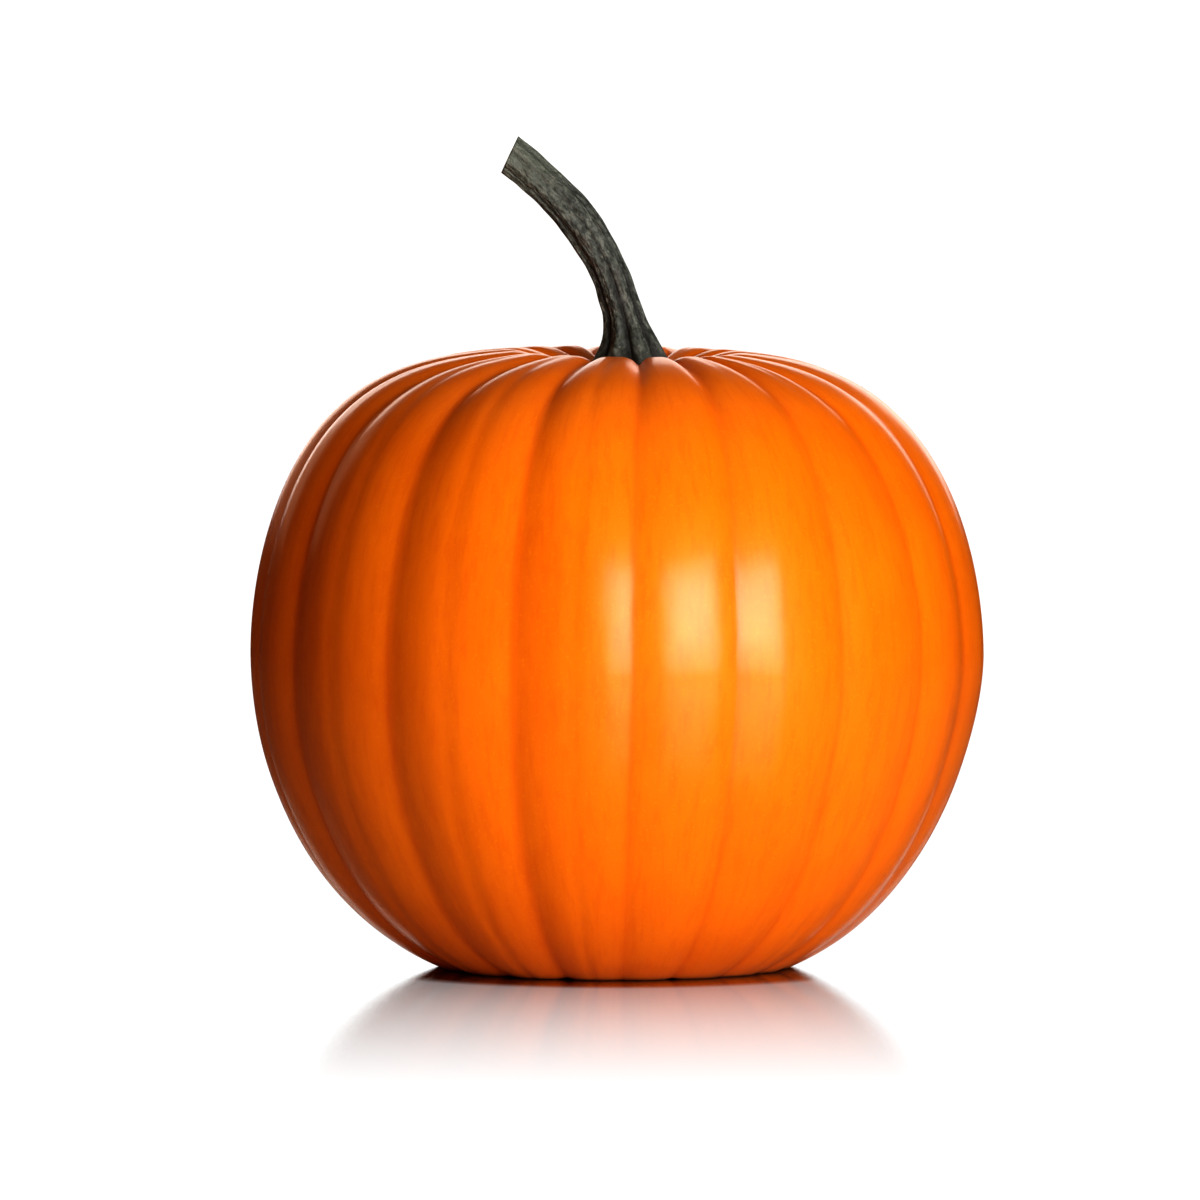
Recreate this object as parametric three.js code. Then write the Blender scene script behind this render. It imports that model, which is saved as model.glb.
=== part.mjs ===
// Pumpkin: a ribbed, slightly flattened fruit with a curved, ridged stem.
// Millimetres, +Z up, front towards -Y. The origin is the middle of the footprint, at the height
// of the surface it rests on.
import * as THREE from "three";

// Outline of the fruit over its rib crests: an upper and a lower half that meet at the waist.
const WAIST_RADIUS = 130.2;
const WAIST_HEIGHT = 111.2;
const CROWN_RISE = 108.2; // waist to the top of the crown
const CROWN_SQUARENESS = 3.91;
const CROWN_ROUNDNESS = 1.9;
const BASE_DROP = 119.4; // waist to the lowest point the lower curve would reach
const BASE_SQUARENESS = 2.77;
const BASE_ROUNDNESS = 1.79;
const CROWN_LEAN = 0.014; // the crown stands higher on the left, by this share of the distance across
const BELLY_OFFSET = -1.1; // the lower half bulges a little to the left

// Crown: the ribs roll down into a shallow dip that holds the stem, a little to the right of the middle.
const STEM_OFFSET = 5.2;
const STEM_SEAT_RADIUS = 16.5;
const CROWN_DIP_RADIUS = 43;
const CROWN_DIP_DEPTH = 6.6;

// Underside: flat pads on the ribs, round a shallow hollow with the blossom scar in it.
const PAD_CUT = 0.6; // how much of each rib crest the pads take off
const HOLLOW_RADIUS = 36;
const HOLLOW_DEPTH = 7;
const SCAR_RADIUS = 7;

// Grooves between the ribs: compass angle in degrees (0 is the front, 90 the right side),
// how deep it is against the deepest, and how far it leans sideways at the crown.
const GROOVES = [
  { angle: -82, depth: 0.9, lean: 0 },
  { angle: -63, depth: 0.9, lean: 0 },
  { angle: -38.6, depth: 0.8, lean: -3.5 },
  { angle: -16.5, depth: 0.9, lean: -1.5 },
  { angle: 2.5, depth: 0.5, lean: 6.5 },
  { angle: 19.4, depth: 0.75, lean: 9.1 },
  { angle: 37.5, depth: 0.45, lean: 7 },
  { angle: 56, depth: 0.5, lean: -4 },
  { angle: 71.5, depth: 0.55, lean: -2 },
  { angle: 97, depth: 0.7, lean: 0 },
  { angle: 115.5, depth: 0.9, lean: 2 },
  { angle: 134.5, depth: 0.75, lean: -2 },
  { angle: 155, depth: 1, lean: 1 },
  { angle: 176.5, depth: 0.85, lean: -3 },
  { angle: 197, depth: 0.7, lean: 2 },
  { angle: 216, depth: 0.95, lean: 0 },
  { angle: 238, depth: 0.8, lean: -2 },
  { angle: 258, depth: 1, lean: 1 },
];
const GROOVE_DEPTH = 3.1; // the deepest groove, at the shoulder
const GROOVE_DEPTH_AT_DIP = 3;
const GROOVE_DEPTH_AT_PADS = 1.6;
const RIB_FULLNESS = 2.2; // 2 is a round rib, more is flatter with sharper grooves
const RIB_FULLNESS_AT_CROWN = 3.8;

// Stem: middle line and outer radius above its foot, up to the cut end, as [x, z, radius].
const STEM_FOOT_RADIUS = 15.4;
const CUT_END_RADIUS = 7.5;
const STEM_STATIONS = [
  [4.9, 217.4, 13.3],
  [4.2, 221.9, 10.9],
  [3.1, 227.6, 8.6],
  [1.7, 233.3, 7.5],
  [-0.1, 239, 7.3],
  [-2, 244.7, 7.1],
  [-4.6, 250.4, 7],
  [-7.8, 256.1, 7.2],
  [-11.5, 261.8, 7.4],
  [-15.6, 267.4, 7.4],
  [-20.7, 273.1, 7.2],
  [-26.8, 278.8, 7.1],
  [-33.2, 284.5, 7.3],
  [-38, 288.4, CUT_END_RADIUS],
];
const CUT_END_TILT = 155; // direction the cut end faces, in degrees up from +X
const STEM_FURROWS = [-55, 0, 48, 92, 137, 182, 224, 264];
const STEM_FURROW_DEPTH = 0.11; // share of the radius
const STEM_FURROW_DEPTH_AT_SEAT = 0.22;
const STEM_TWIST = 10; // degrees, seat to cut end
const STEM_GAP = 0.3; // clearance between the stem and its seat
const PITH_RADIUS = 3.2;
const PITH_EDGE_DEPTH = 0.3; // how far the cut end sinks towards the pith
const PITH_DEPTH = 1.6;

// Mesh fineness
const FRUIT_ROWS = 42;
const FACETS_PER_RIB = 6;
const STEM_ROWS = 26;
const FACETS_PER_RIDGE = 5;

const radians = THREE.MathUtils.degToRad;
const mix = THREE.MathUtils.lerp;
const smooth = THREE.MathUtils.smoothstep;

// Height of the outline at a polar angle: 0 is the top, 90 the waist, 180 the bottom.
function outlineHeight(polar) {
  const reach = Math.sin(radians(polar));
  if (polar < 90)
    return WAIST_HEIGHT + CROWN_RISE * (1 - reach ** CROWN_SQUARENESS) ** (1 / CROWN_ROUNDNESS);
  return WAIST_HEIGHT - BASE_DROP * (1 - reach ** BASE_SQUARENESS) ** (1 / BASE_ROUNDNESS);
}

function outlineRadius(polar) {
  return WAIST_RADIUS * Math.sin(radians(polar));
}

// Direction square to the outline, outwards, as [radial, vertical].
function outlineNormal(polar) {
  const step = 0.5;
  const radial = outlineHeight(polar - step) - outlineHeight(polar + step);
  const vertical = outlineRadius(polar + step) - outlineRadius(polar - step);
  const length = Math.hypot(radial, vertical);
  return [radial / length, vertical / length];
}

// Depth of the deepest groove at a polar angle.
function grooveDepthAt(polar) {
  const radius = outlineRadius(polar);
  if (polar < 90) {
    const depth = mix(GROOVE_DEPTH_AT_DIP, GROOVE_DEPTH, smooth(polar, 15, 55));
    return depth * smooth(radius, STEM_SEAT_RADIUS, STEM_SEAT_RADIUS + 18);
  }
  const depth = mix(GROOVE_DEPTH, GROOVE_DEPTH_AT_PADS, smooth(polar, 95, 155));
  return depth * smooth(radius, SCAR_RADIUS, SCAR_RADIUS + 18);
}

// Places along a rib from its left groove (0) to its right one (1): compass angle and sunken share.
function ribPlace(index, across, polar) {
  const left = GROOVES[index];
  const right = GROOVES[(index + 1) % GROOVES.length];
  const lean = polar < 90 ? (1 - polar / 90) ** 2 : 0;
  const start = left.angle + left.lean * lean;
  const turn = index + 1 === GROOVES.length ? 360 : 0;
  const end = right.angle + turn + right.lean * lean;
  const nearest = across < 0.5 ? left.depth : right.depth;
  const evenness = polar < 90 ? smooth(polar, 15, 50) : 1; // near the stem all grooves are alike
  const crown = 1 - smooth(polar, 20, 60);
  const fullness = mix(RIB_FULLNESS, RIB_FULLNESS_AT_CROWN, crown);
  const sunken = mix(1, nearest, evenness) * Math.abs(2 * across - 1) ** fullness;
  return { angle: mix(start, end, across), sunken };
}

// How far the middle of a row lies to the right of the origin.
function rowMiddle(polar) {
  const reach = Math.sin(radians(polar));
  if (polar < 90) return STEM_OFFSET * (1 - reach) ** 1.5;
  return BELLY_OFFSET * smooth(polar, 90, 110) * smooth(reach, 0.3, 0.6);
}

// Height of the skin over the crown, with the dip that holds the stem.
function crownHeight(polar, radius, sink, x) {
  const dip = 1 - smooth(radius, STEM_SEAT_RADIUS, CROWN_DIP_RADIUS);
  const lean = CROWN_LEAN * x * (1 - dip) * (1 - smooth(polar, 50, 90));
  return outlineHeight(polar) - sink - CROWN_DIP_DEPTH * dip - lean;
}

// Height of the skin over the underside, with its pads and hollow.
function undersideHeight(polar, radius, sink) {
  const pad = Math.max(outlineHeight(polar), 0) + sink - PAD_CUT * smooth(polar, 90, 140);
  const hollow = 1 - smooth(radius, SCAR_RADIUS, HOLLOW_RADIUS);
  return Math.max(pad, 0) + HOLLOW_DEPTH * hollow;
}

// A point of the skin: the polar angle picks the row, the rib and the place across it the column.
function fruitPoint(polar, rib, across) {
  const { angle, sunken } = ribPlace(rib, across, polar);
  const [radialOut, verticalOut] = outlineNormal(polar);
  const depth = sunken * grooveDepthAt(polar);
  const radius = outlineRadius(polar) - depth * radialOut;
  const sink = depth * Math.abs(verticalOut);
  const x = rowMiddle(polar) + radius * Math.sin(radians(angle));
  const y = -radius * Math.cos(radians(angle));
  if (polar < 90) return [x, y, crownHeight(polar, radius, sink, x)];
  return [x, y, undersideHeight(polar, radius, sink)];
}

const seatPolar = THREE.MathUtils.radToDeg(Math.asin(STEM_SEAT_RADIUS / WAIST_RADIUS));
const seatHeight = crownHeight(seatPolar, STEM_SEAT_RADIUS, 0, 0);

// Closes a stack of rings, first to last, into one surface with a middle point at each end.
function closedSurface(rings, firstMiddle, lastMiddle) {
  const columns = rings[0].length;
  const positions = [...rings.flat(), firstMiddle, lastMiddle].flat();
  const first = rings.length * columns;
  const faces = [];
  for (let column = 0; column < columns; column += 1) {
    const next = (column + 1) % columns;
    faces.push(first, column, next);
    for (let row = 0; row + 1 < rings.length; row += 1) {
      const here = row * columns;
      const below = here + columns;
      faces.push(here + column, below + column, here + next);
      faces.push(here + next, below + column, below + next);
    }
    const end = (rings.length - 1) * columns;
    faces.push(end + next, end + column, first + 1);
  }
  const geometry = new THREE.BufferGeometry();
  geometry.setAttribute("position", new THREE.Float32BufferAttribute(positions, 3));
  geometry.setIndex(faces);
  geometry.computeVertexNormals();
  return geometry;
}

// Rows crowd towards the crown dip and the pads, where the skin turns fastest.
function fruitPolar(row) {
  const last = 180 - THREE.MathUtils.radToDeg(Math.asin(SCAR_RADIUS / WAIST_RADIUS));
  const share = row / (FRUIT_ROWS - 1);
  return mix(seatPolar, last, share - 0.07 * Math.sin(2 * Math.PI * share));
}

function fruitGeometry() {
  const rings = [];
  for (let row = 0; row < FRUIT_ROWS; row += 1) {
    const ring = [];
    for (let rib = 0; rib < GROOVES.length; rib += 1)
      for (let facet = 0; facet < FACETS_PER_RIB; facet += 1)
        ring.push(fruitPoint(fruitPolar(row), rib, facet / FACETS_PER_RIB));
    rings.push(ring);
  }
  return closedSurface(rings, [STEM_OFFSET, 0, seatHeight], [0, 0, HOLLOW_DEPTH]);
}

const stemStations = [[STEM_OFFSET, seatHeight + STEM_GAP, STEM_FOOT_RADIUS], ...STEM_STATIONS];
const stemLine = new THREE.CatmullRomCurve3(stemStations.map(([x, z]) => new THREE.Vector3(x, 0, z)));

// Middle line and radius of the stem at a share of its length.
function stemStation(share) {
  const slot = share * (stemStations.length - 1);
  const before = Math.min(Math.floor(slot), stemStations.length - 2);
  const radius = mix(stemStations[before][2], stemStations[before + 1][2], slot - before);
  return { place: stemLine.getPoint(share), tangent: stemLine.getTangent(share), radius };
}

// The way a slice of the stem faces: flat on the seat, square to the stem, then along the cut end.
function sliceDirection(share, tangent) {
  const along = Math.atan2(tangent.z, tangent.x);
  const nearSeat = 1 - smooth(share, 0, 0.25);
  const nearCut = smooth(share, 0.82, 1);
  return mix(mix(along, radians(90), nearSeat), radians(CUT_END_TILT), nearCut);
}

function stemRing(share) {
  const { place, tangent, radius } = stemStation(share);
  const facing = sliceDirection(share, tangent);
  const side = new THREE.Vector3(Math.sin(facing), 0, -Math.cos(facing));
  const depth = mix(STEM_FURROW_DEPTH_AT_SEAT, STEM_FURROW_DEPTH, smooth(share, 0.15, 0.45));
  const ring = [];
  STEM_FURROWS.forEach((furrow, index) => {
    const last = index + 1 === STEM_FURROWS.length;
    const next = last ? STEM_FURROWS[0] + 360 : STEM_FURROWS[index + 1];
    for (let facet = 0; facet < FACETS_PER_RIDGE; facet += 1) {
      const across = facet / FACETS_PER_RIDGE;
      const compass = radians(mix(furrow, next, across) + STEM_TWIST * share);
      const reach = radius * (1 - depth * Math.abs(2 * across - 1) ** 1.8);
      const point = place.clone().addScaledVector(side, reach * Math.sin(compass));
      ring.push([point.x, -reach * Math.cos(compass), point.z]);
    }
  });
  return ring;
}

function stemGeometry() {
  const rings = [];
  for (let row = 0; row < STEM_ROWS; row += 1) rings.push(stemRing(1 - row / (STEM_ROWS - 1)));
  const cut = stemStation(1).place;
  const facing = radians(CUT_END_TILT);
  const outer = rings[0];
  const inward = (point, share, sunk) => [
    mix(point[0], cut.x, share) - sunk * Math.cos(facing),
    mix(point[1], 0, share),
    mix(point[2], cut.z, share) - sunk * Math.sin(facing),
  ];
  const pithShare = 1 - PITH_RADIUS / CUT_END_RADIUS;
  const pithRim = outer.map((point) => inward(point, pithShare, PITH_EDGE_DEPTH));
  const pithMiddle = inward([cut.x, 0, cut.z], 0, PITH_DEPTH);
  const [footX, footHeight] = stemStations[0];
  return closedSurface([pithRim, ...rings], pithMiddle, [footX, 0, footHeight]);
}

function namedMesh(name, geometry, color, roughness) {
  const mesh = new THREE.Mesh(geometry, new THREE.MeshStandardMaterial({ color, roughness }));
  mesh.name = name;
  return mesh;
}

const pumpkin = new THREE.Group();
pumpkin.add(namedMesh("pumpkin_body", fruitGeometry(), 0xe8700a, 0.4));
pumpkin.add(namedMesh("pumpkin_stem", stemGeometry(), 0x4a4c3c, 0.8));

export default pumpkin;
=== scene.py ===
import math

import bpy
import numpy as np
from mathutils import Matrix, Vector


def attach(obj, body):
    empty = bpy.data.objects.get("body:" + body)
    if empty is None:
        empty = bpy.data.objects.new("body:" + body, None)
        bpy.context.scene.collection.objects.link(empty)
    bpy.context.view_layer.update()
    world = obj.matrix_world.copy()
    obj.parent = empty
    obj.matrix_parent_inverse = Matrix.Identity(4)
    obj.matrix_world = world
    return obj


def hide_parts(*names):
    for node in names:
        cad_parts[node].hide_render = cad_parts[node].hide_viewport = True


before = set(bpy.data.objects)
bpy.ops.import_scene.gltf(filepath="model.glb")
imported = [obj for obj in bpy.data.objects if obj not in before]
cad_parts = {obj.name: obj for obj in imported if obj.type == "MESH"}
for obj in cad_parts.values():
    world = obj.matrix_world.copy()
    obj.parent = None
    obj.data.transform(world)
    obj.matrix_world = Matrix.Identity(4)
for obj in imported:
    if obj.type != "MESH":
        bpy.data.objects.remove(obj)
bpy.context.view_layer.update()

MM = 0.001

# Camera: a long lens, far back, a little above the middle of the fruit
CAMERA_DISTANCE = 6.0
CAMERA_ELEVATION = 3.6
CAMERA_TARGET = (-0.00603, 0.0, 0.13025)
PICTURE_SPAN = 0.42564  # how much of the target's plane the square picture shows
SENSOR_WIDTH = 36.0

# Outline of the fruit over its rib crests, in millimetres, as in the part
WAIST_RADIUS = 130.2
WAIST_HEIGHT = 111.2
CROWN_RISE = 108.2
CROWN_SQUARENESS = 3.91
CROWN_ROUNDNESS = 1.9
BASE_DROP = 119.4
BASE_SQUARENESS = 2.77
BASE_ROUNDNESS = 1.79
CROWN_LEAN = 0.014
BELLY_OFFSET = -1.1
STEM_OFFSET = 5.2
STEM_SEAT_RADIUS = 16.5
CROWN_DIP_RADIUS = 43.0
CROWN_DIP_DEPTH = 6.6
PAD_CUT = 0.6
HOLLOW_RADIUS = 36.0
HOLLOW_DEPTH = 7.0
SCAR_RADIUS = 7.0
STEM_SHIFT_POWER = 1.5
BELLY_REACH = (0.3, 0.6)  # share of the waist radius where the belly's offset begins

# Where a shape changes over, in degrees from the crown (0) to the base (180)
DEEPENING_FROM_DIP = (15.0, 55.0)
SHALLOWING_TO_PADS = (95.0, 155.0)
GROOVES_DIFFER = (15.0, 50.0)
FULLNESS_CHANGE = (20.0, 60.0)
LEAN_STOP = (50.0, 90.0)
PAD_CUT_START = (90.0, 140.0)
BELLY_START = (90.0, 110.0)

# Grooves between the ribs: compass angle, depth against the deepest, sideways lean at the crown,
# and how strong the faint crease is along the middle of the rib to its right
GROOVES = [
    (-82.0, 0.9, 0.0, 0.3),
    (-63.0, 0.9, 0.0, 0.8),
    (-38.6, 0.8, -3.5, 0.8),
    (-16.5, 0.9, -1.5, 0.7),
    (2.5, 0.5, 6.5, 0.0),
    (19.4, 0.75, 9.1, 0.2),
    (37.5, 0.45, 7.0, 0.3),
    (56.0, 0.5, -4.0, 0.0),
    (71.5, 0.55, -2.0, 0.6),
    (97.0, 0.7, 0.0, 0.5),
    (115.5, 0.9, 2.0, 0.2),
    (134.5, 0.75, -2.0, 0.7),
    (155.0, 1.0, 1.0, 0.4),
    (176.5, 0.85, -3.0, 0.0),
    (197.0, 0.7, 2.0, 0.6),
    (216.0, 0.95, 0.0, 0.8),
    (238.0, 0.8, -2.0, 0.2),
    (258.0, 1.0, 1.0, 0.5),
]
GROOVE_DEPTH = 3.1
GROOVE_DEPTH_AT_DIP = 3.0
GROOVE_DEPTH_AT_PADS = 1.6
GROOVE_RUN_OUT = 18.0
GROOVE_ROUNDING = 0.07  # share of half a rib
RIB_FULLNESS = 2.2
RIB_FULLNESS_AT_CROWN = 3.8
CREASE_DEPTH = 0.45
CREASE_WIDTH = 0.07  # share of the rib
SWELL_DEPTH = 0.35
SWELL_WAVES = [  # radians a millimetre along x, y and z, and phase
    (0.031, 0.012, 0.024, 0.4),
    (-0.017, 0.036, 0.019, 2.1),
    (0.052, -0.024, 0.041, 4.4),
    (-0.043, -0.048, 0.058, 1.3),
    (0.077, 0.061, -0.038, 5.2),
]
PLAIN_ENDS = (30.0, 60.0)  # creases and swells fade in between these radii
SWELLS_STOP = (125.0, 145.0)  # swells fade out between these angles, above the pads
# Painted shade: the rind darkens within this width of each groove and outside these radii, standing in for
# the shade in the grooves
GROOVE_SHADE_WIDTH = 1.8
GROOVE_SHADE_START = (14.0, 26.0)
SEAT_STAIN = (15.0, 24.0)
SCAR_STAIN = (6.0, 13.0)
# Painted contact shadow: the rind darkens within this height of the floor, outside these radii, standing
# in for the shadow where the fruit rests
CONTACT_SHADE_HEIGHT = 0.9
CONTACT_SHADE_START = (50.0, 60.0)
RIND_GRAIN_RADIUS = 130.0
FRUIT_ROWS = 230
ROW_CROWDING = 0.07  # draws the rows together at the crown and at the base
COLUMNS_PER_RIB = 22

# Stem: middle line and outer radius, foot to cut end, as (x, z, radius)
STEM_GAP = 0.3
STEM_FOOT_RADIUS = 15.4
STEM_STATIONS = [
    (4.9, 217.4, 13.3),
    (4.2, 221.9, 10.9),
    (3.1, 227.6, 8.6),
    (1.7, 233.3, 7.5),
    (-0.1, 239.0, 7.3),
    (-2.0, 244.7, 7.1),
    (-4.6, 250.4, 7.0),
    (-7.8, 256.1, 7.2),
    (-11.5, 261.8, 7.4),
    (-15.6, 267.4, 7.4),
    (-20.7, 273.1, 7.2),
    (-26.8, 278.8, 7.1),
    (-33.2, 284.5, 7.3),
    (-38.0, 288.4, 7.5),
]
CUT_END_TILT = 155.0
STEM_FURROWS = [-55.0, 0.0, 48.0, 92.0, 137.0, 182.0, 224.0, 264.0]
STEM_FURROW_DEPTH = 0.11
STEM_FURROW_DEPTH_AT_SEAT = 0.22
STEM_FURROW_SHARPNESS = 1.8
STEM_TWIST = 10.0
STEM_ROWS = 200
COLUMNS_PER_RIDGE = 30

# Where the stem changes over, as shares of its length from the foot (0) to the cut end (1)
UPRIGHT_FOOT = (0.0, 0.25)
CUT_END_TURN = (0.82, 1.0)
FURROWS_SETTLE = (0.15, 0.45)
BARK_START = (0.0, 0.06)
TANGENT_STEP = 0.004

# Cut end and bark, in millimetres
PITH_DEPTH = 1.6
CUT_RINGS = [(0.25, 0.6), (0.5, 0.45), (0.75, 0.25), (0.93, 0.06)]  # share outwards, depth
BARK_SINK = 0.18
FIBRE_WAVES = [  # depth, count round the stem, radians a millimetre along it, phase
    (0.0576, 23.0, 0.11, 0.0),
    (0.0432, 37.0, -0.16, 1.0),
]
KNOT_DEPTH = 0.132
KNOT_WAVES = [(0.42, 3.0), (0.19, -2.0)]  # radians a millimetre along the stem, count round it
BARK_GRAIN_RADIUS = 8.0

# Colours, as linear red, green and blue
RIND_DEEP = (0.72, 0.138, 0.002)
RIND_BRIGHT = (0.84, 0.196, 0.003)
RIND_STREAK = (0.70, 0.124, 0.002)
RIND_SPECK = (0.90, 0.27, 0.010)
# painted shade in the grooves
RIND_GROOVE_SHADE = (0.55, 0.055, 0.001)
RIND_AT_STEM = (0.35, 0.16, 0.03)
RIND_AT_SCAR = (0.26, 0.14, 0.06)
# painted contact shadow where the fruit meets the floor
RIND_CONTACT_SHADE = (0.03, 0.005, 0.001)
WAX_TINT = (1.0, 0.68, 0.12)
BARK_DARK = (0.026, 0.031, 0.023)
BARK_LIGHT = (0.088, 0.1, 0.08)
BARK_FLECK = (0.235, 0.25, 0.2)
BARK_PATCH = (0.09, 0.062, 0.045)
BARK_AT_TIP = (0.175, 0.195, 0.145)
# painted shade in the stem's furrows, strongest near the foot
BARK_FURROW_SHADE = (0.012, 0.012, 0.008)
PITH_DARK = (0.12, 0.09, 0.045)
PITH_LIGHT = (0.36, 0.29, 0.17)
WHITE = (1.0, 1.0, 1.0)

# Lamps round the fruit: azimuth (0 the camera's side, 90 the right), elevation, distance and size
# in metres, power, colour, and whether glossy surfaces mirror them
LAMP_AIM = (0.0, 0.0, 0.12)
LAMPS = {
    "front_right_softbox": (27.5, 11.0, 1.3, (1.0, 0.64), 14.6, WHITE, True),
    "softbox_hot_middle": (27.0, 12.0, 1.25, (0.62, 0.36), 4.2, (1.0, 0.82, 1.0), True),
    "top_fill": (0.0, 86.0, 1.3, (1.4, 1.4), 2.0, (0.92, 0.82, 0.4), True),
    "back_panel": (180.0, 15.0, 1.3, (1.2, 0.5), 3.7, (1.0, 0.88, 0.8), True),
    "warm_back_left": (-150.0, 18.0, 1.3, (0.7, 0.5), 0.7, (1.0, 0.55, 0.35), True),
    "back_fill": (180.0, 32.0, 1.5, (1.4, 1.0), 9.0, (1.0, 0.9, 0.75), False),
    "warm_left_fill": (-50.0, 5.0, 1.3, (0.7, 0.7), 1.2, (1.0, 0.35, 0.12), True),
}

# The floor: how white it is, how its mirror fades away from the fruit, and half its side; lengths
# in metres
FLOOR_WHITE = 0.75
MIRROR_SHARE = 0.78
MIRROR_GONE = 0.52
MIRROR_FALL = 1.31
CONTACT_NEAR = 0.08
CONTACT_FAR = 0.128
FLOOR_BOUNCE = (0.57, 0.57, 0.57)
FLOOR_IN_SHEEN = (0.12, 0.12, 0.12)
FLOOR_HALF = 8.0


def smoothstep(value, low, high):
    share = np.clip((np.asarray(value, dtype=float) - low) / (high - low), 0.0, 1.0)
    return share * share * (3.0 - 2.0 * share)


def mix(low, high, share):
    return low + (high - low) * share


def make_camera():
    """The photograph's view: square on to the front and slightly from above."""
    data = bpy.data.cameras.new("camera")
    data.sensor_width = SENSOR_WIDTH
    data.lens = SENSOR_WIDTH * CAMERA_DISTANCE / PICTURE_SPAN
    data.clip_end = 100.0
    camera = bpy.data.objects.new("camera", data)
    bpy.context.collection.objects.link(camera)
    rise = math.radians(CAMERA_ELEVATION)
    back = Vector((0.0, -math.cos(rise), math.sin(rise)))
    camera.location = Vector(CAMERA_TARGET) + back * CAMERA_DISTANCE
    camera.rotation_euler = back.to_track_quat("Z", "Y").to_euler()
    bpy.context.scene.camera = camera


# The fruit's skin, by the part's own formula


def outline_height(polar):
    reach = np.clip(np.sin(np.radians(polar)), 0.0, 1.0)
    upper = WAIST_HEIGHT + CROWN_RISE * (1.0 - reach**CROWN_SQUARENESS) ** (1.0 / CROWN_ROUNDNESS)
    lower = WAIST_HEIGHT - BASE_DROP * (1.0 - reach**BASE_SQUARENESS) ** (1.0 / BASE_ROUNDNESS)
    return np.where(polar < 90.0, upper, lower)


def outline_radius(polar):
    return WAIST_RADIUS * np.sin(np.radians(polar))


def outline_normal(polar):
    step = 0.5
    radial = outline_height(polar - step) - outline_height(polar + step)
    vertical = outline_radius(polar + step) - outline_radius(polar - step)
    length = np.hypot(radial, vertical)
    return radial / length, vertical / length


def groove_depth(polar):
    radius = outline_radius(polar)
    crown = mix(GROOVE_DEPTH_AT_DIP, GROOVE_DEPTH, smoothstep(polar, *DEEPENING_FROM_DIP))
    crown = crown * smoothstep(radius, STEM_SEAT_RADIUS, STEM_SEAT_RADIUS + GROOVE_RUN_OUT)
    base = mix(GROOVE_DEPTH, GROOVE_DEPTH_AT_PADS, smoothstep(polar, *SHALLOWING_TO_PADS))
    base = base * smoothstep(radius, SCAR_RADIUS, SCAR_RADIUS + GROOVE_RUN_OUT)
    return np.where(polar < 90.0, crown, base)


def row_middle(polar):
    reach = np.sin(np.radians(polar))
    crown = STEM_OFFSET * np.clip(1.0 - reach, 0.0, 1.0) ** STEM_SHIFT_POWER
    belly = BELLY_OFFSET * smoothstep(polar, *BELLY_START) * smoothstep(reach, *BELLY_REACH)
    return np.where(polar < 90.0, crown, belly)


def crown_height(polar, radius, sink, x):
    dip = 1.0 - smoothstep(radius, STEM_SEAT_RADIUS, CROWN_DIP_RADIUS)
    lean = CROWN_LEAN * x * (1.0 - dip) * (1.0 - smoothstep(polar, *LEAN_STOP))
    return outline_height(polar) - sink - CROWN_DIP_DEPTH * dip - lean


def underside_height(polar, radius, sink):
    pad = np.maximum(outline_height(polar), 0.0) + sink - PAD_CUT * smoothstep(polar, *PAD_CUT_START)
    hollow = 1.0 - smoothstep(radius, SCAR_RADIUS, HOLLOW_RADIUS)
    return np.maximum(pad, 0.0) + HOLLOW_DEPTH * hollow


SEAT_POLAR = math.degrees(math.asin(STEM_SEAT_RADIUS / WAIST_RADIUS))
SEAT_HEIGHT = float(crown_height(SEAT_POLAR, STEM_SEAT_RADIUS, 0.0, 0.0))


def rib_columns():
    """Rib number and place across it (0 left groove, 1 right groove) for every column."""
    rib = np.repeat(np.arange(len(GROOVES)), COLUMNS_PER_RIB)
    across = np.tile(np.arange(COLUMNS_PER_RIB) / COLUMNS_PER_RIB, len(GROOVES))
    return rib[None, :], across[None, :]


def rib_places(polar, rib, across):
    """Compass angle, sunken share of the groove depth, crease and nearness to a groove."""
    table = np.array(GROOVES)
    following = np.roll(table, -1, axis=0)
    following[-1, 0] += 360.0
    lean = np.where(polar < 90.0, (1.0 - polar / 90.0) ** 2, 0.0)
    start = table[rib, 0] + table[rib, 2] * lean
    end = following[rib, 0] + following[rib, 2] * lean
    nearest = np.where(across < 0.5, table[rib, 1], following[rib, 1])
    evenness = np.where(polar < 90.0, smoothstep(polar, *GROOVES_DIFFER), 1.0)
    from_groove = 1.0 - np.abs(2.0 * across - 1.0)
    closeness = 1.0 - (np.hypot(from_groove, GROOVE_ROUNDING) - GROOVE_ROUNDING)
    fullness = mix(RIB_FULLNESS_AT_CROWN, RIB_FULLNESS, smoothstep(polar, *FULLNESS_CHANGE))
    sunken = mix(1.0, nearest, evenness) * closeness**fullness
    crease = table[rib, 3] * np.exp(-(((across - 0.5) / CREASE_WIDTH) ** 2))
    wide = np.radians(end - start) * outline_radius(polar)
    to_groove = np.minimum(across, 1.0 - across) * wide
    return mix(start, end, across), sunken, crease, to_groove


def unevenness(x, y, z):
    """Slow swells that keep the skin from looking turned on a lathe, from -1 to 1."""
    total = sum(np.sin(a * x + b * y + c * z + phase) for a, b, c, phase in SWELL_WAVES)
    return total / len(SWELL_WAVES)


def quad_grid(rows, columns):
    """Faces of a stack of closed rings, with a fan to a middle point at each end."""
    row, column = np.meshgrid(np.arange(rows - 1), np.arange(columns), indexing="ij")
    following = (column + 1) % columns
    here, below = row * columns, (row + 1) * columns
    quads = np.stack([here + column, below + column, below + following, here + following], axis=-1)
    first, last = rows * columns, rows * columns + 1
    end = (rows - 1) * columns
    faces = quads.reshape(-1, 4).tolist()
    faces += [(first, c, (c + 1) % columns) for c in range(columns)]
    faces += [(last, end + (c + 1) % columns, end + c) for c in range(columns)]
    return faces


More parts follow.
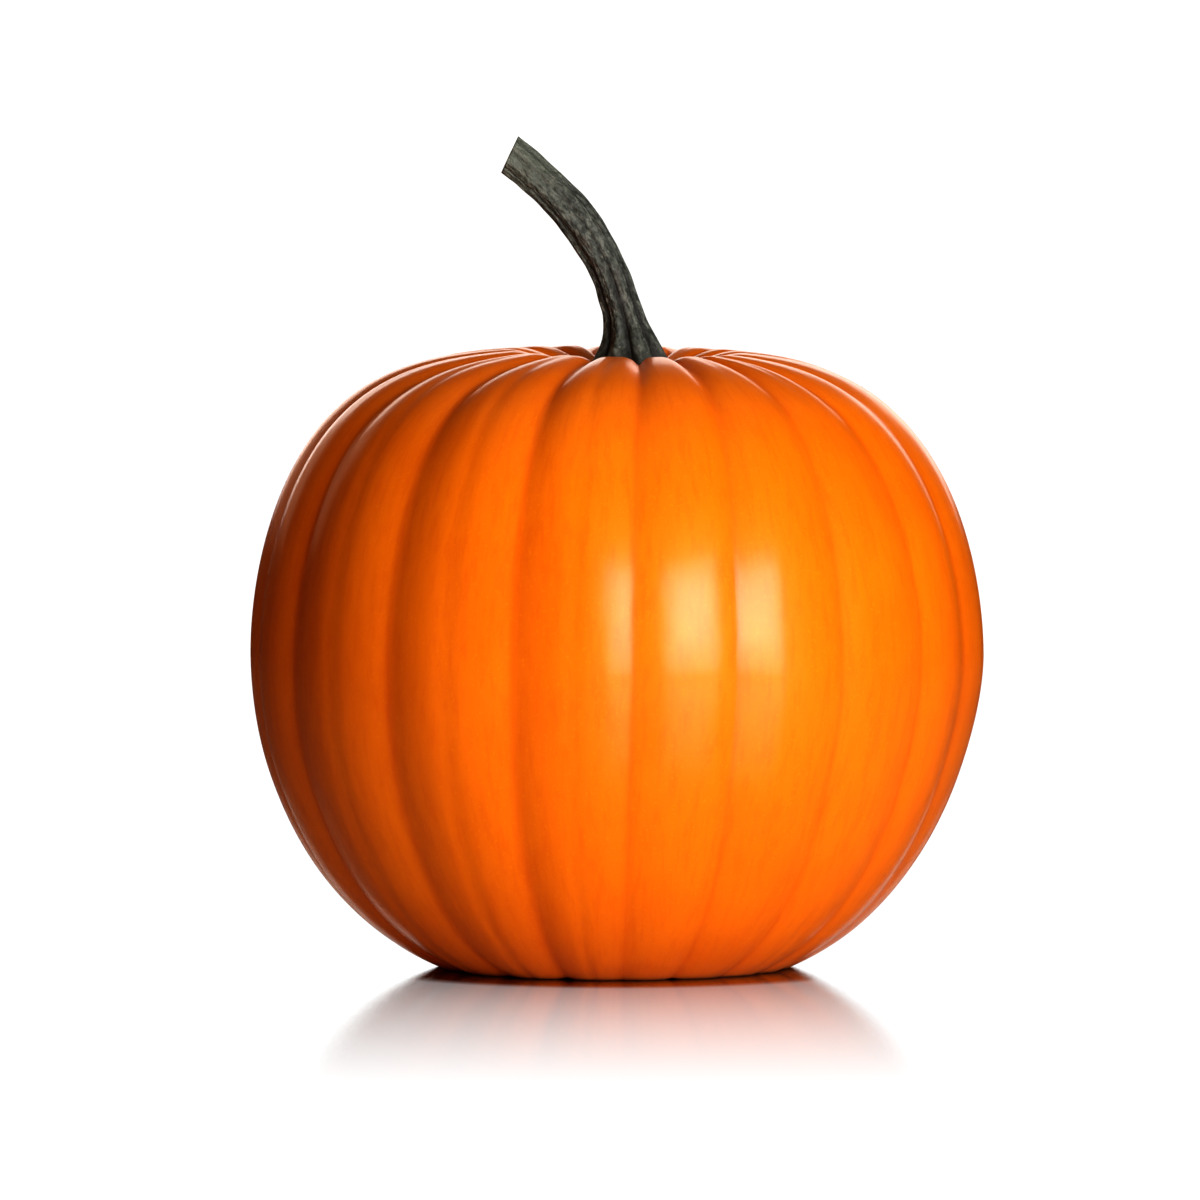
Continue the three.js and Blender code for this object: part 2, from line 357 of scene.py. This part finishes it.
def skin_object(name, rings, middles, shades):
    """A smooth closed mesh from rings of points in millimetres, with its point shades."""
    rows, columns = rings.shape[:2]
    points = np.concatenate([rings.reshape(-1, 3), np.array(middles)]) * MM
    mesh = bpy.data.meshes.new(name)
    mesh.from_pydata(points.tolist(), [], quad_grid(rows, columns))
    mesh.polygons.foreach_set("use_smooth", np.ones(len(mesh.polygons), dtype=bool))
    for shade, (values, ends) in shades.items():
        if values.ndim == 3:
            flat = np.concatenate([values.reshape(-1, 3), np.array(ends)])
            mesh.attributes.new(shade, "FLOAT_VECTOR", "POINT").data.foreach_set("vector", flat.ravel())
        else:
            flat = np.concatenate([values.ravel(), np.array(ends)])
            mesh.attributes.new(shade, "FLOAT", "POINT").data.foreach_set("value", flat)
    made = bpy.data.objects.new(name, mesh)
    bpy.context.collection.objects.link(made)
    return made


def grain_places(radius, compass, run):
    """Each point's place on a tube of one radius, so that grain runs lengthwise on the skin."""
    return np.stack([radius * np.sin(compass), radius * np.cos(compass), run + 0.0 * compass], axis=-1)


def make_fruit(rind):
    last = 180.0 - math.degrees(math.asin(SCAR_RADIUS / WAIST_RADIUS))
    share = np.linspace(0.0, 1.0, FRUIT_ROWS)[:, None]
    polar = mix(SEAT_POLAR, last, share - ROW_CROWDING * np.sin(2.0 * np.pi * share))
    rib, across = rib_columns()
    angle, sunken, crease, to_groove = rib_places(polar, rib, across)
    radial_out, vertical_out = outline_normal(polar)
    away = smoothstep(outline_radius(polar), *PLAIN_ENDS)
    depth = sunken * groove_depth(polar) + CREASE_DEPTH * crease * away
    radius = outline_radius(polar) - depth * radial_out
    sink = depth * np.abs(vertical_out)
    compass = np.radians(angle)
    x = row_middle(polar) + radius * np.sin(compass)
    y = -radius * np.cos(compass)
    z = np.where(polar < 90.0, crown_height(polar, radius, sink, x), underside_height(polar, radius, sink))
    swell = SWELL_DEPTH * unevenness(x, y, z) * away * (1.0 - smoothstep(polar, *SWELLS_STOP))
    x = x + swell * radial_out * np.sin(compass)
    y = y - swell * radial_out * np.cos(compass)
    z = z + swell * vertical_out
    rings = np.stack([x, y, z], axis=-1)

    flat = np.zeros_like(x)
    # Painted shade mask near the grooves, which also roughens the rind there
    furrow = np.exp(-to_groove / GROOVE_SHADE_WIDTH)
    furrow = furrow * smoothstep(outline_radius(polar), *GROOVE_SHADE_START)
    steps = np.hypot(np.gradient(outline_radius(polar)[:, 0]), np.gradient(outline_height(polar)[:, 0]))
    run = np.cumsum(steps)
    grain = grain_places(RIND_GRAIN_RADIUS, compass, run[:, None])
    seat = flat + 1.0 - smoothstep(outline_radius(polar), *SEAT_STAIN)
    scar = flat + 1.0 - smoothstep(outline_radius(polar), *SCAR_STAIN)
    # painted contact shadow: darker towards the floor
    contact_shade = np.exp(-z / CONTACT_SHADE_HEIGHT) * smoothstep(outline_radius(polar), *CONTACT_SHADE_START)
    shades = {
        "furrow": (furrow + flat, (0.0, 0.0)),
        "grain": (grain, ((0.0, 0.0, 0.0), (0.0, 0.0, run[-1]))),
        "seat": (np.where(polar < 90.0, seat, 0.0), (1.0, 0.0)),
        "scar": (np.where(polar < 90.0, 0.0, scar), (0.0, 1.0)),
        "contact_shade": (contact_shade, (0.0, 0.0)),
    }
    middles = [(STEM_OFFSET, 0.0, SEAT_HEIGHT), (0.0, 0.0, HOLLOW_DEPTH)]
    fruit = skin_object("ribbed_fruit", rings, middles, shades)
    fruit.data.materials.append(rind)
    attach(fruit, "root")
    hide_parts("pumpkin_body")


# The stem


def smooth_line(stations, share):
    """Catmull-Rom line through the stations, at shares of their count."""
    table = np.array(stations)
    padded = np.vstack([2.0 * table[0] - table[1], table, 2.0 * table[-1] - table[-2]])
    slot = np.clip(share * (len(table) - 1), 0.0, len(table) - 1.000001)
    index = slot.astype(int)
    t = (slot - index)[:, None]
    before, here, after, beyond = (padded[index + k] for k in range(4))
    return 0.5 * (
        2.0 * here
        + (after - before) * t
        + (2.0 * before - 5.0 * here + 4.0 * after - beyond) * t**2
        + (3.0 * here - before - 3.0 * after + beyond) * t**3
    )


def make_stem(bark, cut_face):
    stations = [(STEM_OFFSET, SEAT_HEIGHT + STEM_GAP, STEM_FOOT_RADIUS)] + STEM_STATIONS
    share = np.linspace(1.0, 0.0, STEM_ROWS)
    line = smooth_line(stations, share)
    ahead = smooth_line(stations, np.clip(share + TANGENT_STEP, 0.0, 1.0))
    behind = smooth_line(stations, np.clip(share - TANGENT_STEP, 0.0, 1.0))
    along = np.arctan2(ahead[:, 1] - behind[:, 1], ahead[:, 0] - behind[:, 0])
    facing = mix(along, math.radians(90.0), 1.0 - smoothstep(share, *UPRIGHT_FOOT))
    facing = mix(facing, math.radians(CUT_END_TILT), smoothstep(share, *CUT_END_TURN))

    furrows = np.array(STEM_FURROWS + [STEM_FURROWS[0] + 360.0])
    ridge = np.repeat(np.arange(len(STEM_FURROWS)), COLUMNS_PER_RIDGE)
    across = np.tile(np.arange(COLUMNS_PER_RIDGE) / COLUMNS_PER_RIDGE, len(STEM_FURROWS))
    compass = mix(furrows[ridge], furrows[ridge + 1], across)[None, :] + STEM_TWIST * share[:, None]
    compass = np.radians(compass)
    depth = mix(STEM_FURROW_DEPTH_AT_SEAT, STEM_FURROW_DEPTH, smoothstep(share, *FURROWS_SETTLE))[:, None]
    sunken = np.abs(2.0 * across - 1.0)[None, :] ** STEM_FURROW_SHARPNESS
    reach = line[:, 2:3] * (1.0 - depth * sunken)
    run = np.cumsum(np.hypot(np.gradient(line[:, 0]), np.gradient(line[:, 1])))[:, None]
    fibre = sum(
        deep * np.sin(count * compass + slant * run + phase)
        for deep, count, slant, phase in FIBRE_WAVES
    )
    long_knots, short_knots = (np.sin(up * run + count * compass) for up, count in KNOT_WAVES)
    knots = KNOT_DEPTH * long_knots * short_knots
    fade = smoothstep(share, *BARK_START)[:, None]
    reach = reach - (BARK_SINK + fibre + knots) * fade
    x = line[:, 0:1] + reach * np.sin(compass) * np.sin(facing)[:, None]
    y = -reach * np.cos(compass)
    z = line[:, 1:2] - reach * np.sin(compass) * np.cos(facing)[:, None]
    rings = np.stack([x, y, z], axis=-1)

    tilt = math.radians(CUT_END_TILT)
    inward = np.array([math.cos(tilt), 0.0, math.sin(tilt)])
    centre = np.array([line[0, 0], 0.0, line[0, 1]])
    cap = [mix(centre, rings[0], outward) - inward * sunk for outward, sunk in CUT_RINGS]
    rings = np.concatenate([np.array(cap), rings])
    flat = np.zeros(rings.shape[:2])
    grain = grain_places(BARK_GRAIN_RADIUS, compass, run)
    grain = np.concatenate([np.repeat(grain[:1], len(cap), axis=0), grain])
    furrow = np.concatenate([flat[: len(cap)], sunken + 0.0 * compass])
    height = np.concatenate([flat[: len(cap)] + 1.0, share[:, None] + 0.0 * compass])
    shades = {
        "furrow": (furrow, (0.0, 0.0)),
        "grain": (grain, ((0.0, 0.0, 0.0), (0.0, 0.0, run[-1, 0]))),
        "height": (height, (1.0, 0.0)),
    }
    pith = centre - inward * PITH_DEPTH
    middles = [pith, (STEM_OFFSET, 0.0, SEAT_HEIGHT + STEM_GAP)]
    stem = skin_object("ridged_stem", rings, middles, shades)
    stem.data.materials.append(bark)
    stem.data.materials.append(cut_face)
    columns = rings.shape[1]
    on_cap = np.zeros(len(stem.data.polygons), dtype=np.int32)
    on_cap[: len(cap) * columns] = 1
    quads = (len(rings) - 1) * columns
    on_cap[quads : quads + columns] = 1
    stem.data.polygons.foreach_set("material_index", on_cap)
    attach(stem, "root")
    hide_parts("pumpkin_stem")


# Shader nodes


def new_material(name):
    material = bpy.data.materials.new(name)
    material.use_nodes = True
    return material, material.node_tree


def attribute(tree, name):
    node = tree.nodes.new("ShaderNodeAttribute")
    node.attribute_type = "GEOMETRY"
    node.attribute_name = name
    return node


def fill(tree, socket, value):
    """Link a socket to another, or set its own value (a colour is given as three numbers)."""
    if isinstance(value, bpy.types.NodeSocket):
        tree.links.new(value, socket)
    elif socket.type == "RGBA":
        socket.default_value = (*value, 1.0)
    else:
        socket.default_value = value


def ranged(tree, value, low, high, to_low=0.0, to_high=1.0, smooth=True):
    node = tree.nodes.new("ShaderNodeMapRange")
    node.interpolation_type = "SMOOTHSTEP" if smooth else "LINEAR"
    for socket, filling in zip(node.inputs, (value, low, high, to_low, to_high)):
        fill(tree, socket, filling)
    return node.outputs["Result"]


def math_node(tree, operation, first, second):
    node = tree.nodes.new("ShaderNodeMath")
    node.operation = operation
    fill(tree, node.inputs[0], first)
    fill(tree, node.inputs[1], second)
    return node.outputs["Value"]


def blend(tree, share, first, second):
    node = tree.nodes.new("ShaderNodeMix")
    node.data_type = "RGBA"
    for index, value in ((0, share), (6, first), (7, second)):
        fill(tree, node.inputs[index], value)
    return node.outputs[2]


def bump(tree, height, strength, distance, normal=None):
    node = tree.nodes.new("ShaderNodeBump")
    node.inputs["Strength"].default_value = strength
    node.inputs["Distance"].default_value = distance
    tree.links.new(height, node.inputs["Height"])
    if normal:
        tree.links.new(normal, node.inputs["Normal"])
    return node.outputs["Normal"]


def mix_shaders(tree, share, first, second):
    node = tree.nodes.new("ShaderNodeMixShader")
    tree.links.new(share, node.inputs[0])
    tree.links.new(first.outputs[0], node.inputs[1])
    tree.links.new(second.outputs[0], node.inputs[2])
    return node


def new_group(name, inputs, outputs):
    group = bpy.data.node_groups.new(name, "ShaderNodeTree")
    for label, kind in inputs.items():
        group.interface.new_socket(name=label, in_out="INPUT", socket_type="NodeSocket" + kind)
    for label, kind in outputs.items():
        group.interface.new_socket(name=label, in_out="OUTPUT", socket_type="NodeSocket" + kind)
    return group, group.nodes.new("NodeGroupInput").outputs, group.nodes.new("NodeGroupOutput").inputs


def make_grain_group():
    """Uneven grain over a place: the grain itself and a mask of its higher parts."""
    inputs = {
        "Place": "Vector",
        "Stretch": "Vector",
        "Scale": "Float",
        "Detail": "Float",
        "Raggedness": "Float",
        "Mask Low": "Float",
        "Mask High": "Float",
    }
    group, given, result = new_group("uneven_grain", inputs, {"Grain": "Float", "Mask": "Float"})
    scaled = group.nodes.new("ShaderNodeVectorMath")
    scaled.operation = "MULTIPLY"
    group.links.new(given["Place"], scaled.inputs[0])
    group.links.new(given["Stretch"], scaled.inputs[1])
    texture = group.nodes.new("ShaderNodeTexNoise")
    group.links.new(scaled.outputs["Vector"], texture.inputs["Vector"])
    group.links.new(given["Scale"], texture.inputs["Scale"])
    group.links.new(given["Detail"], texture.inputs["Detail"])
    group.links.new(given["Raggedness"], texture.inputs["Roughness"])
    grain = texture.outputs["Fac"]
    group.links.new(grain, result["Grain"])
    group.links.new(ranged(group, grain, given["Mask Low"], given["Mask High"]), result["Mask"])
    return group


def make_groove_shade_group():
    """Painted shade: darkening along the bottom of a groove or furrow."""
    inputs = {"Colour": "Color", "Groove": "Float", "Strength": "Float", "Shade Colour": "Color"}
    group, given, result = new_group("painted_groove_shade", inputs, {"Colour": "Color"})
    share = math_node(group, "MULTIPLY", given["Groove"], given["Strength"])
    group.links.new(blend(group, share, given["Colour"], given["Shade Colour"]), result["Colour"])
    return group


def use_group(tree, group, values):
    node = tree.nodes.new("ShaderNodeGroup")
    node.node_tree = group
    for label, value in values.items():
        fill(tree, node.inputs[label], value)
    return node.outputs


def grain_over(tree, place, scale, detail=3.0, raggedness=0.5, stretch=(1.0, 1.0, 1.0), mask=(0.0, 1.0)):
    values = {
        "Place": place,
        "Stretch": stretch,
        "Scale": scale,
        "Detail": detail,
        "Raggedness": raggedness,
        "Mask Low": mask[0],
        "Mask High": mask[1],
    }
    return use_group(tree, GRAIN_GROUP, values)


# Paints shade into the colour along grooves and furrows
def groove_shaded(tree, colour, groove, strength, shade_colour):
    values = {"Colour": colour, "Groove": groove, "Strength": strength, "Shade Colour": shade_colour}
    return use_group(tree, GROOVE_SHADE_GROUP, values)["Colour"]


def rind_material():
    material, tree = new_material("waxy_orange_rind")
    skin = tree.nodes["Principled BSDF"]
    grain = attribute(tree, "grain").outputs["Vector"]
    furrow = attribute(tree, "furrow").outputs["Fac"]
    seat = attribute(tree, "seat").outputs["Fac"]
    scar = attribute(tree, "scar").outputs["Fac"]
    contact_shade = attribute(tree, "contact_shade").outputs["Fac"]
    place = tree.nodes.new("ShaderNodeTexCoord").outputs["Object"]

    clouds = grain_over(tree, place, 22.0)["Grain"]
    streaks = grain_over(tree, grain, 0.35, 4.0, 0.6, (1.0, 1.0, 0.2), (0.42, 0.72))["Mask"]
    speckle = grain_over(tree, place, 900.0, 2.0, mask=(0.56, 0.74))["Mask"]
    colour = blend(tree, clouds, RIND_DEEP, RIND_BRIGHT)
    colour = blend(tree, math_node(tree, "MULTIPLY", streaks, 0.5), colour, RIND_STREAK)
    colour = blend(tree, math_node(tree, "MULTIPLY", speckle, 0.25), colour, RIND_SPECK)
    # painted shade in the grooves
    colour = groove_shaded(tree, colour, furrow, 0.3, RIND_GROOVE_SHADE)
    colour = blend(tree, math_node(tree, "MULTIPLY", seat, 0.6), colour, RIND_AT_STEM)
    colour = blend(tree, scar, colour, RIND_AT_SCAR)
    # painted contact shadow near the floor
    colour = blend(tree, math_node(tree, "MULTIPLY", contact_shade, 0.8), colour, RIND_CONTACT_SHADE)
    tree.links.new(colour, skin.inputs["Base Color"])

    rough = ranged(tree, grain_over(tree, place, 60.0)["Grain"], 0.3, 0.7, 0.44, 0.54)
    rough = math_node(tree, "ADD", rough, math_node(tree, "MULTIPLY", furrow, 0.12))
    tree.links.new(rough, skin.inputs["Roughness"])
    skin.inputs["Specular IOR Level"].default_value = 0.5
    skin.inputs["Specular Tint"].default_value = (*WAX_TINT, 1.0)
    skin.inputs["Coat Weight"].default_value = 0.5
    skin.inputs["Coat Roughness"].default_value = 0.2
    skin.inputs["Coat IOR"].default_value = 1.4

    dents = bump(tree, grain_over(tree, place, 45.0, 2.0)["Grain"], 0.2, 0.0012)
    pores = bump(tree, grain_over(tree, place, 620.0)["Grain"], 0.12, 0.0002, dents)
    tree.links.new(pores, skin.inputs["Normal"])
    tree.links.new(dents, skin.inputs["Coat Normal"])
    return material


def bark_material():
    material, tree = new_material("dry_green_grey_bark")
    skin = tree.nodes["Principled BSDF"]
    grain = attribute(tree, "grain").outputs["Vector"]
    furrow = attribute(tree, "furrow").outputs["Fac"]
    height = attribute(tree, "height").outputs["Fac"]

    fibres = grain_over(tree, grain, 0.8, 5.0, 0.65, (1.0, 1.0, 0.45), (0.35, 0.65))
    flecks = grain_over(tree, grain, 0.45, 4.0, 0.65, (1.0, 1.0, 0.6), (0.5, 0.64))["Mask"]
    patches = grain_over(tree, grain, 0.16, 3.0, 0.6, (1.0, 1.0, 0.5), (0.55, 0.75))["Mask"]
    colour = blend(tree, fibres["Mask"], BARK_DARK, BARK_LIGHT)
    colour = blend(tree, math_node(tree, "MULTIPLY", flecks, 0.45), colour, BARK_FLECK)
    colour = blend(tree, math_node(tree, "MULTIPLY", patches, 0.35), colour, BARK_PATCH)
    colour = blend(tree, ranged(tree, height, 0.7, 1.0, 0.0, 0.45), colour, BARK_AT_TIP)
    # Painted shade in the stem's furrows, strongest near the foot
    shaded = ranged(tree, height, 0.3, 0.6, 0.95, 0.2)
    colour = groove_shaded(tree, colour, ranged(tree, furrow, 0.1, 0.75), shaded, BARK_FURROW_SHADE)
    tree.links.new(colour, skin.inputs["Base Color"])
    skin.inputs["Roughness"].default_value = 0.62
    skin.inputs["Specular IOR Level"].default_value = 0.4

    lumps = grain_over(tree, grain, 0.3, 3.0, 0.5, (1.0, 1.0, 0.6))["Grain"]
    grit = grain_over(tree, grain, 3.5, 3.0, 0.6, (1.0, 1.0, 0.5))["Grain"]
    normal = bump(tree, lumps, 0.8, 0.003)
    normal = bump(tree, fibres["Grain"], 0.4, 0.0012, normal)
    normal = bump(tree, grit, 0.4, 0.0004, normal)
    tree.links.new(normal, skin.inputs["Normal"])
    return material


def cut_face_material():
    material, tree = new_material("dry_cut_pith")
    skin = tree.nodes["Principled BSDF"]
    place = tree.nodes.new("ShaderNodeTexCoord").outputs["Object"]
    fibres = grain_over(tree, place, 900.0, 4.0, 0.7, mask=(0.35, 0.65))
    colour = blend(tree, fibres["Mask"], PITH_DARK, PITH_LIGHT)
    tree.links.new(colour, skin.inputs["Base Color"])
    skin.inputs["Roughness"].default_value = 0.85
    tree.links.new(bump(tree, fibres["Grain"], 0.6, 0.0006), skin.inputs["Normal"])
    return material


# The studio


def make_lamp(name, azimuth, elevation, distance, size, power, colour, mirrored):
    """A rectangular lamp that faces the middle of the fruit."""
    data = bpy.data.lights.new(name, "AREA")
    data.shape = "RECTANGLE"
    data.size, data.size_y = size
    data.energy = power
    data.color = colour
    lamp = bpy.data.objects.new(name, data)
    bpy.context.collection.objects.link(lamp)
    lamp.visible_glossy = mirrored
    turn, rise = math.radians(azimuth), math.radians(elevation)
    away = Vector((math.sin(turn) * math.cos(rise), -math.cos(turn) * math.cos(rise), math.sin(rise)))
    lamp.location = Vector(LAMP_AIM) + away * distance
    lamp.rotation_euler = away.to_track_quat("Z", "Y").to_euler()


def make_world():
    """White to the camera and in the floor's sharp mirror, dark for the fruit's own sheen."""
    world = bpy.data.worlds.new("white_studio")
    world.use_nodes = True
    bpy.context.scene.world = world
    tree = world.node_tree
    dark = tree.nodes["Background"]
    mirrored = tree.nodes.new("ShaderNodeBackground")
    seen = tree.nodes.new("ShaderNodeBackground")
    for background, strength in ((dark, 0.0), (mirrored, FLOOR_WHITE / MIRROR_SHARE), (seen, 1.0)):
        background.inputs["Color"].default_value = (1.0, 1.0, 1.0, 1.0)
        background.inputs["Strength"].default_value = strength
    light_path = tree.nodes.new("ShaderNodeLightPath")
    around = mix_shaders(tree, light_path.outputs["Is Singular Ray"], dark, mirrored)
    sky = mix_shaders(tree, light_path.outputs["Is Camera Ray"], around, seen)
    tree.links.new(sky.outputs[0], tree.nodes["World Output"].inputs["Surface"])


def floor_material():
    """Glossy white acrylic: burnt-out white to the camera, with a mirror share that fades
    away from the fruit, and plain lit white to every other ray. Seen from below it is clear."""
    material, tree = new_material("glossy_white_floor")
    tree.nodes.remove(tree.nodes["Principled BSDF"])
    white = tree.nodes.new("ShaderNodeEmission")
    mirror = tree.nodes.new("ShaderNodeBsdfGlossy")
    mirror.inputs["Color"].default_value = (MIRROR_SHARE, MIRROR_SHARE, MIRROR_SHARE, 1.0)
    mirror.inputs["Roughness"].default_value = 0.0
    place = tree.nodes.new("ShaderNodeTexCoord").outputs["Object"]
    ripples = grain_over(tree, place, 900.0, 2.0)["Grain"]
    tree.links.new(bump(tree, ripples, 0.06, 0.0004), mirror.inputs["Normal"])
    sheen = tree.nodes.new("ShaderNodeBsdfGlossy")
    sheen.inputs["Color"].default_value = (1.0, 1.0, 1.0, 1.0)
    sheen.inputs["Roughness"].default_value = 0.15
    matt = tree.nodes.new("ShaderNodeBsdfDiffuse")
    clear = tree.nodes.new("ShaderNodeBsdfTransparent")
    light_path = tree.nodes.new("ShaderNodeLightPath")
    geometry = tree.nodes.new("ShaderNodeNewGeometry")
    length = tree.nodes.new("ShaderNodeVectorMath")
    length.operation = "LENGTH"
    tree.links.new(geometry.outputs["Position"], length.inputs[0])
    distance = length.outputs["Value"]
    fade = ranged(tree, distance, 0.0, MIRROR_GONE, 1.0, 0.0, smooth=False)
    fade = math_node(tree, "POWER", fade, MIRROR_FALL)
    contact = ranged(tree, distance, CONTACT_NEAR, CONTACT_FAR, 1.0, 0.0)
    near = math_node(tree, "MAXIMUM", fade, contact)
    facing = tree.nodes.new("ShaderNodeLayerWeight").outputs["Facing"]
    share = math_node(tree, "MULTIPLY", near, ranged(tree, facing, 0.6, 0.85))
    white.inputs["Strength"].default_value = FLOOR_WHITE
    seen = mix_shaders(tree, share, white, mirror)
    plain = blend(tree, light_path.outputs["Is Glossy Ray"], FLOOR_BOUNCE, FLOOR_IN_SHEEN)
    tree.links.new(plain, matt.inputs["Color"])
    fresnel = tree.nodes.new("ShaderNodeFresnel")
    fresnel.inputs["IOR"].default_value = 2.0
    lit = mix_shaders(tree, fresnel.outputs[0], matt, sheen)
    top = mix_shaders(tree, light_path.outputs["Is Camera Ray"], lit, seen)
    surface = mix_shaders(tree, geometry.outputs["Backfacing"], top, clear)
    tree.links.new(surface.outputs[0], tree.nodes["Material Output"].inputs["Surface"])
    return material


def make_floor():
    mesh = bpy.data.meshes.new("floor")
    corners = [(x * FLOOR_HALF, y * FLOOR_HALF, 0) for x, y in ((-1, -1), (1, -1), (1, 1), (-1, 1))]
    mesh.from_pydata(corners, [], [(0, 1, 2, 3)])
    floor = bpy.data.objects.new("floor", mesh)
    bpy.context.collection.objects.link(floor)
    floor.data.materials.append(floor_material())


make_camera()
GRAIN_GROUP = make_grain_group()
GROOVE_SHADE_GROUP = make_groove_shade_group()
make_fruit(rind_material())
make_stem(bark_material(), cut_face_material())
for lamp_name, lamp_values in LAMPS.items():
    make_lamp(lamp_name, *lamp_values)
make_world()
make_floor()
bpy.context.scene.view_settings.view_transform = "Standard"
bpy.context.scene.view_settings.look = "High Contrast"
